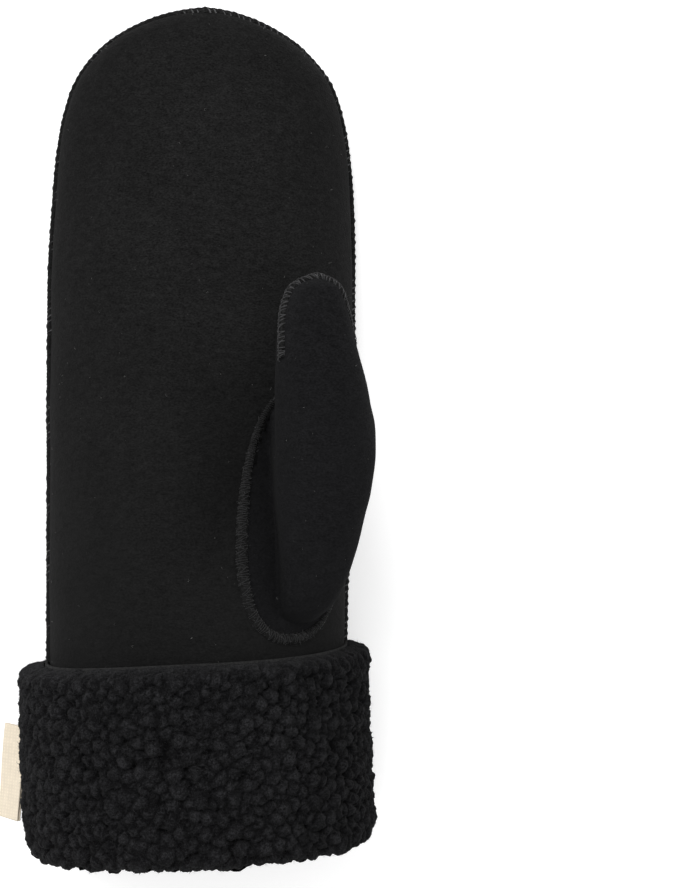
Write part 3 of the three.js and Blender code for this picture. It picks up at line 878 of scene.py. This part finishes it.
# It is fattest at the lower left, and slim where it goes under the thumb towards the fingertips.
ridge_place = (ridge_line[:, 1] - ridge_line[:, 1].min()) / np.ptp(ridge_line[:, 1])
inner_full = np.interp(ridge_place, [0, 0.2, 0.5, 0.8, 1], [0.95, 1.08, 1.05, 0.7, 0.4])
outer_full = np.interp(ridge_place, [0, 0.08, 0.2, 1], [0.95, 0.6, 0.45, 0.4])
ridge_full = np.where(ridge_line[:, 0] < hole_middle[0], inner_full, outer_full)
hole_seam = seam_bead(
    "thumb_hole_seam", ridge_line, ridge_out, ridge_half_width, ridge_height, ridge_pitch, ridge_full
)
hole_stitch = stitch_shape(
    "hole_stitch", ridge_half_width * 0.96, ridge_height * 0.95, 0.6 * mm, thread_radius
)
hole_stitches = overcast(
    "thumb_hole_stitches",
    ridge_line,
    ridge_out,
    ridge_pitch,
    hole_stitch,
    thread_black,
    5,
    0.55,
    ridge_full,
)
hole_fuzz = scatter(
    "thumb_hole_fuzz", hole_seam, thread_loops, 0.6 * mm, (0.35, 0.95), 1.5, 0.15 * mm, 17, pale_thread
)
hole_seam.data.materials.append(seam_suede)
for piece in (hole_seam, hole_stitches, hole_fuzz):
    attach(piece, "root")


# Cuff: a band of the same shearling turned wool side out over the wrist and folded a short way into the
# mouth. Its skin shows as a thin edge along the top. The wool is a thick pile of knobby felted curls.
cuff_height = 63 * mm
cuff_pile = 9.2 * mm
inner_pile = 6 * mm
inner_leg = 30 * mm
fold_thickness = 9 * mm
cuff_stand_off = 2.8 * mm
slot_clearance = 0.5 * mm
cuff_shift = -1.4 * mm
askew = math.tan(math.radians(1.9))
cuff_flare = 3.5 * mm
cuff_front = 2.9 * mm
cuff_drop = 2.6 * mm
cuff_tuck = 3.5 * mm
clump_size = 4.6 * mm
clump_rise = 2.2 * mm


def cuff_points(profile, around):
    """Rings of points round the wrist from a profile of (out of the leather, up from the fold) pairs."""
    angle = np.linspace(0, 2 * math.pi, around, endpoint=False)[None, :]
    out, up = np.array(profile)[:, 0:1], np.array(profile)[:, 1:2]
    points = hand_points((tip_y - fold_y - up) / mitten_length, angle, out)
    piled = np.maximum(out, 0) / cuff_pile
    sideways = points[..., 0] / (palm_width / 2)
    front = points[..., 2] / (wrist_lift + wrist_depth)
    below, above = (1 - up / cuff_height) ** 2, np.clip(up / cuff_height, 0, 1) ** 2
    flare = cuff_flare * np.maximum(sideways, 0) * below + cuff_tuck * np.maximum(-sideways, 0) * below**2
    points[..., 0] += piled * (cuff_shift + flare)
    rise = cuff_front * front**2 * below - cuff_drop * np.maximum(-sideways, 0) ** 2 * above
    points[..., 1] += askew * points[..., 0] + rise
    return points


def smooth_profile(corners, count):
    """An even run of points through the profile's corners, rounded."""
    corners = np.array(corners, float)
    travel = np.concatenate([[0], np.cumsum(np.linalg.norm(np.diff(corners, axis=0), axis=1))])
    at = np.linspace(0, travel[-1], count)
    line = np.stack([np.interp(at, travel, corners[:, k]) for k in (0, 1)], axis=1)
    for _ in range(6):
        line[1:-1] = (line[:-2] + 2 * line[1:-1] + line[2:]) / 4
    return line


skin_in = -(leather_wall + slot_clearance)
pile_out = cuff_pile - clump_rise
pile_in = skin_in - inner_pile + clump_rise
pile_middle = 0.5 * (pile_out + pile_in)
outer_profile = smooth_profile(
    [
        (1.7 * mm, cuff_height + 0.3 * mm),
        (pile_out - 2.2 * mm, cuff_height - 0.1 * mm),
        (pile_out + 0.4 * mm, cuff_height - 2.2 * mm),
        (pile_out, cuff_height - 6 * mm),
        (pile_out, 0.4 * fold_thickness + clump_rise),
        (pile_out - 0.9 * mm, 0.05 * fold_thickness + clump_rise),
        (pile_middle + 2 * mm, clump_rise),
        (pile_middle, clump_rise),
    ],
    150,
)
inner_profile = smooth_profile(
    [
        (pile_middle, clump_rise),
        (pile_middle - 2 * mm, clump_rise),
        (pile_in + 1 * mm, 0.35 * fold_thickness + clump_rise),
        (pile_in, 0.9 * fold_thickness + clump_rise),
        (pile_in, inner_leg - 2 * mm),
        (pile_in + 1 * mm, inner_leg),
        (skin_in, inner_leg),
    ],
    75,
)


def grid_outward(grid):
    """The way out of a closed grid of rings that runs down the outside of the cuff and up its inside."""
    around = np.roll(grid, -1, axis=1) - np.roll(grid, 1, axis=1)
    down = np.gradient(grid, axis=0)
    return unit(np.cross(around, down).reshape(-1, 3)).reshape(grid.shape)


def spread_points(points, spacing, random):
    """Points taken in random order, leaving out any nearer to one already taken than the spacing."""
    taken = {}
    near = [(i, j, k) for i in (-1, 0, 1) for j in (-1, 0, 1) for k in (-1, 0, 1)]
    for point in points[random.permutation(len(points))]:
        cell = tuple(np.floor(point / spacing).astype(int))
        keys = [(cell[0] + i, cell[1] + j, cell[2] + k) for i, j, k in near]
        others = [taken[key] for key in keys if key in taken]
        if all(np.dot(point - other, point - other) > spacing**2 for other in others):
            taken[cell] = point
    return np.array(list(taken.values()))


# In clump sizes: how wide and high each of the bends and lumps is that make a clump uneven.
clump_bends = ((0.55, 0.22), (0.2, 0.16))
clump_lumps = ((0.16, 0.08), (0.4, 0.13))
clump_gap = 0.68 * clump_size
clump_floor = 0.02 * clump_size
clump_depth = 0.5 * clump_size
clump_sunk = 0.25 * clump_size
clump_groove = 0.12 * clump_size
clump_groove_width = 0.16 * clump_size
crease_width = 0.36 * clump_size
clump_radii = (0.56, 0.76)
clump_lifts = (-0.1, 0.1)
clump_squeezes = (0, 0.65)
pile_fullness = 1.15


def clumped(name, grid, seed, trim=1.0):
    """A pile of felted clumps: each stands out of the grid as a lumpy knob with a deep crease round it.
    Trim is the share of their height that is left at each point of the grid."""
    random = np.random.default_rng(seed)
    flat, ways = grid.reshape(-1, 3), grid_outward(grid).reshape(-1, 3)
    chosen = flat[random.random(len(flat)) < 0.3]
    middles = spread_points(chosen, clump_gap, random)
    tree = kdtree.KDTree(len(middles))
    for k, middle in enumerate(middles):
        tree.insert(middle, k)
    tree.balance()
    radius = random.uniform(*clump_radii, len(middles)) * clump_size
    lift = random.uniform(*clump_lifts, len(middles)) * clump_size
    grain = unit(random.normal(size=(len(middles), 3)))
    squeeze = random.uniform(*clump_squeezes, len(middles))
    height, edge = np.zeros(len(flat)), np.zeros(len(flat))
    winner = np.array(flat)
    for k, point in enumerate(flat):
        at = Vector(point)
        for wide, high in clump_bends:
            at += noise.noise_vector(at / (wide * clump_size)) * high * clump_size
        knobs = [(clump_floor, -1), (clump_floor, -1)]
        for middle, which, _ in tree.find_n(at, 6):
            step = np.array(at - middle)
            across = step @ step - squeeze[which] * (step @ grain[which]) ** 2
            inside = radius[which] ** 2 - across
            if inside > 0:
                knobs.append((math.sqrt(inside) - clump_sunk + lift[which], which))
        knobs.sort()
        edge[k] = knobs[-1][0] - knobs[-2][0]
        if knobs[-1][1] >= 0:
            winner[k] = middles[knobs[-1][1]]
        groove = clump_groove * math.exp(-edge[k] / clump_groove_width)
        lumps = sum(high * noise.noise(at / (wide * clump_size)) for wide, high in clump_lumps)
        height[k] = knobs[-1][0] - groove + lumps * clump_size
    rise = clump_rise * pile_fullness / clump_depth
    kept = (np.ones(grid.shape[:2]) * trim).ravel()
    raised = flat + ways * (height * rise * kept)[:, None]
    pile = sheet_mesh(name, raised.reshape(grid.shape), closed=True)
    # The crease mark drives the wool's painted shade in the creases and painted light on the knobs' tops.
    deep = np.clip(0.62 - (height - clump_floor) / clump_depth, 0, 1)
    crease_shade = np.maximum(deep, 0.78 * np.clip(1 - edge / crease_width, 0, 1))
    mark_points(pile.data, "crease_shade", crease_shade * kept)
    mark_points(pile.data, "curl_middle", winner)
    pile.data.shade_smooth()
    return pile


wool = wool_material("curly_black_wool", "#151516", 0.45 * mm, shaded_creases=True)
# The loose fibres are painted paler than the pile, a painted sheen where they catch the light.
loose_wool = wool_material("loose_black_wool", "#2a2a2b", 0.7 * mm)
# The wool is trimmed short along the band's edge, and lies flatter at the fold and at the label's side.
edge_trim = np.interp(
    outer_profile[:, 1],
    [0, 7 * mm, cuff_height - 3 * mm, cuff_height - 1 * mm, cuff_height],
    [0.8, 1, 1, 0.6, 0.3],
)
outer_around = 600
inner_around = 330
cuff_turn = np.linspace(0, 2 * math.pi, outer_around, endpoint=False)
side_trim = 1 - 0.25 * np.clip(-np.cos(cuff_turn), 0, 1) ** 8
outer_trim = edge_trim[:, None] * side_trim[None, :]
outer_pile = clumped("cuff_outer_pile", cuff_points(outer_profile, outer_around), 21, outer_trim)
inner_pile_piece = clumped("cuff_inner_pile", cuff_points(inner_profile, inner_around), 22)
curl_fibres = fibre_group("curl_fibre", 0.9 * mm, 0.25 * mm, 0.08 * mm, 1.1, 0.5, 4)
wool_fuzz = scatter("cuff_fuzz", outer_pile, curl_fibres, 1.48 * mm, (0.55, 1.2), 1.2, 0, 23, loose_wool)


def pressed_flat(piece, press=1.6 * mm):
    """Presses what is lower than an amount against the table."""
    points = points_of(piece)
    high = points[:, 2]
    points[:, 2] = np.where(high < press, press * np.exp(np.minimum(high - press, 0) / press), high)
    piece.data.vertices.foreach_set("co", points.ravel())


skin_inset = 0.7 * mm
skin_profile = [
    (1.4 * mm, cuff_height + 1.2 * mm),
    (1.5 * mm, cuff_height * 0.84),
    (slot_clearance + skin_inset, cuff_height * 0.7),
    (slot_clearance + skin_inset, fold_thickness),
    (skin_in - skin_inset, fold_thickness),
    (skin_in - skin_inset, inner_leg + 0.5 * mm),
]
skin = sheet_mesh("cuff_skin", cuff_points(smooth_profile(skin_profile, 70), 260), closed=True)
skin = walled(skin, 0.9 * mm)
cut_edge = suede_material("black_suede_cut_edge", "#2b2b2b", 1.4)
skin.data.materials.append(cut_edge)
skin.data.materials.append(cut_edge)
for piece in (outer_pile, inner_pile_piece):
    piece.data.materials.append(wool)
for piece in (outer_pile, inner_pile_piece, wool_fuzz):
    pressed_flat(piece)
    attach(piece, "root")
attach(skin, "root")
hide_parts("cuff")


# Label: a cream woven tape folded double, its two ends sewn into the cuff's outer side. It is bare.
label_length = 30 * mm
label_width = 10.4 * mm
label_root = 2.5 * mm
label_from_fold = 8.7 * mm
label_lean = math.radians(44)
label_tilt = math.radians(5)
tape_thickness = 0.42 * mm
tape_fold_reach = 0.4 * mm
tape_leaf = 0.47
tape_bow = 0.35 * mm

label_at = hand_at((tip_y - fold_y - cuff_height / 2) / mitten_length, cuff_pile)
label_origin = np.array(
    [
        label_at["middle"] - label_at["half_width"] + cuff_shift,
        fold_y + label_from_fold + label_length / 2,
        label_at["seam"],
    ]
)
tilted = np.array(Matrix.Rotation(-label_tilt, 3, "Z"))
label_way = tilted @ np.array([-math.sin(label_lean), 0, -math.cos(label_lean)])
label_face = tilted @ np.array([-math.cos(label_lean), 0, math.sin(label_lean)])
label_up = tilted @ np.array([0, 1, 0])
tape_share = np.linspace(0, 1, 61)
tape_turn = np.pi * np.clip((tape_share - tape_leaf) / (1 - 2 * tape_leaf), 0, 1)
along_leaf = np.minimum(np.minimum(tape_share, 1 - tape_share) / tape_leaf, 1)
tape_out = -label_root + (label_width - tape_fold_reach) * along_leaf + tape_fold_reach * np.sin(tape_turn)
tape_side = tape_thickness * np.cos(tape_turn)
tape_along = np.linspace(-0.5, 0.5, 60) * label_length
label_grid = (
    label_origin
    + tape_along[:, None, None] * label_up
    + tape_out[None, :, None] * label_way
    + tape_side[None, :, None] * label_face
)
bow = tape_bow * np.sin(tape_along / label_length * 5)[:, None] * (tape_out / label_width)[None, :]
label_grid = label_grid + bow[..., None] * label_face
label = sheet_mesh("label_tape", label_grid)
tape_wall = label.modifiers.new("wall", "SOLIDIFY")
tape_wall.thickness = tape_thickness
tape_wall.offset = 0
label = baked(label)


def tape_material(name, colour):
    """Cream cotton tape: plain weave with slightly raised weft, dull, a little yellowed."""
    material, tree, shader = new_material(name, {"Roughness": 0.8, "Specular IOR Level": 0.25})
    place = add_node(tree, "ShaderNodeTexCoord").outputs["Object"]
    # Threads 0.25 mm apart are drawn 0.5 mm apart, so that the weave shows.
    weave_size = {"Vector": place, "Scale": 1 / (3.2 * mm), "Distortion": 0.6}
    warp = add_node(tree, "ShaderNodeTexWave", weave_size, bands_direction="Y").outputs["Fac"]
    weft = add_node(tree, "ShaderNodeTexWave", weave_size, bands_direction="Z").outputs["Fac"]
    weave = add_node(tree, "ShaderNodeMath", (warp, weft), operation="MULTIPLY").outputs[0]
    slub = noise_at(tree, place, 2 * mm, 2, 0.6)
    tones = [(weave, 0, 1, 0.93, 1.03), (slub, *noise_middle, 0.96, 1.04)]
    painted(tree, shader, colour, tones, weave, 0.5, 0.08 * mm)
    return material


label.data.materials.append(tape_material("cream_cotton_tape", "#ddd1bd"))
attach(label, "root")
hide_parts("label")


# Lint: a few pale specks and short hairs that black suede always picks up.
def lint_material(name, colour):
    """Pale cotton dust: dull grey-white fibres."""
    return new_material(name, {"Base Color": linear(colour), "Roughness": 1})[0]


lint_shapes = fibre_group("lint_fibre", 0.35 * mm, 0.35 * mm, 0.06 * mm, 2.4, 0)
lint_finish = lint_material("pale_lint", "#6a6a68")
lint_density = 6000
for k, surface in enumerate((palm, back, thumb_piece)):
    sizes, seed = (0.35, 1.5), 31 + k
    piece = scatter(
        f"lint_{k}", surface, lint_shapes, 1 * mm, sizes, 1.5, 0, seed, lint_finish, lint_density
    )
    pressed_flat(piece, 0.05 * mm)
    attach(piece, "root")


# Table, light and camera: a white table under soft studio light, seen from straight above the palm.
def stage_material(name, colour):
    """A matt white light table, whose own glow thins the shadows."""
    surface = {"Base Color": linear(colour), "Roughness": 0.9}
    glow = {"Emission Color": (1, 1, 1, 1), "Emission Strength": 0.3}
    return new_material(name, surface | glow)[0]


table_side = 8.0
table = bpy.data.meshes.new("table")
table_drop = 0.02 * mm
around = ((-1, -1), (1, -1), (1, 1), (-1, 1))
table_corners = [(x * table_side, y * table_side, -table_drop) for x, y in around]
table.from_pydata(table_corners, [], [(0, 1, 2, 3)])
table = bpy.data.objects.new("table", table)
table.data.materials.append(stage_material("white_table", "#fafafa"))
bpy.context.scene.collection.objects.link(table)

scene = bpy.context.scene
scene.view_settings.view_transform = "Standard"
sky = bpy.data.worlds.new("studio")
scene.world = sky
sky.use_nodes = True
sky_light = sky.node_tree.nodes["Background"].inputs
sky_light["Color"].default_value = (1, 1, 1, 1)
sky_light["Strength"].default_value = 0.76


def softbox(name, place, aim, size, power):
    """A square studio light aimed at a point."""
    lamp = bpy.data.lights.new(name, "AREA")
    lamp.size = size
    lamp.energy = power
    holder = bpy.data.objects.new(name, lamp)
    holder.location = place
    holder.rotation_euler = (Vector(aim) - Vector(place)).to_track_quat("-Z", "Y").to_euler()
    scene.collection.objects.link(holder)


lit_point = (0, 0, 0.03)
softbox("key_light", (-0.5, 0.8, 1.4), lit_point, 1, 18)
softbox("fill_light", (0.7, -0.4, 1.3), lit_point, 1, 4)

camera_height = 667 * mm
mid_plane = 27 * mm
camera_y = -4.9 * mm
camera_lens = 80.4
picture_offset = 48 * mm
camera_data = bpy.data.cameras.new("camera")
camera_data.lens = camera_lens
camera_data.clip_start = 0.01
camera = bpy.data.objects.new("camera", camera_data)
camera.location = (0, camera_y, camera_height)
turn = math.atan(picture_offset / (camera_height - mid_plane))
camera.matrix_world = Matrix.Translation(camera.location) @ Matrix.Rotation(-turn, 4, "Y")
scene.collection.objects.link(camera)
scene.camera = camera
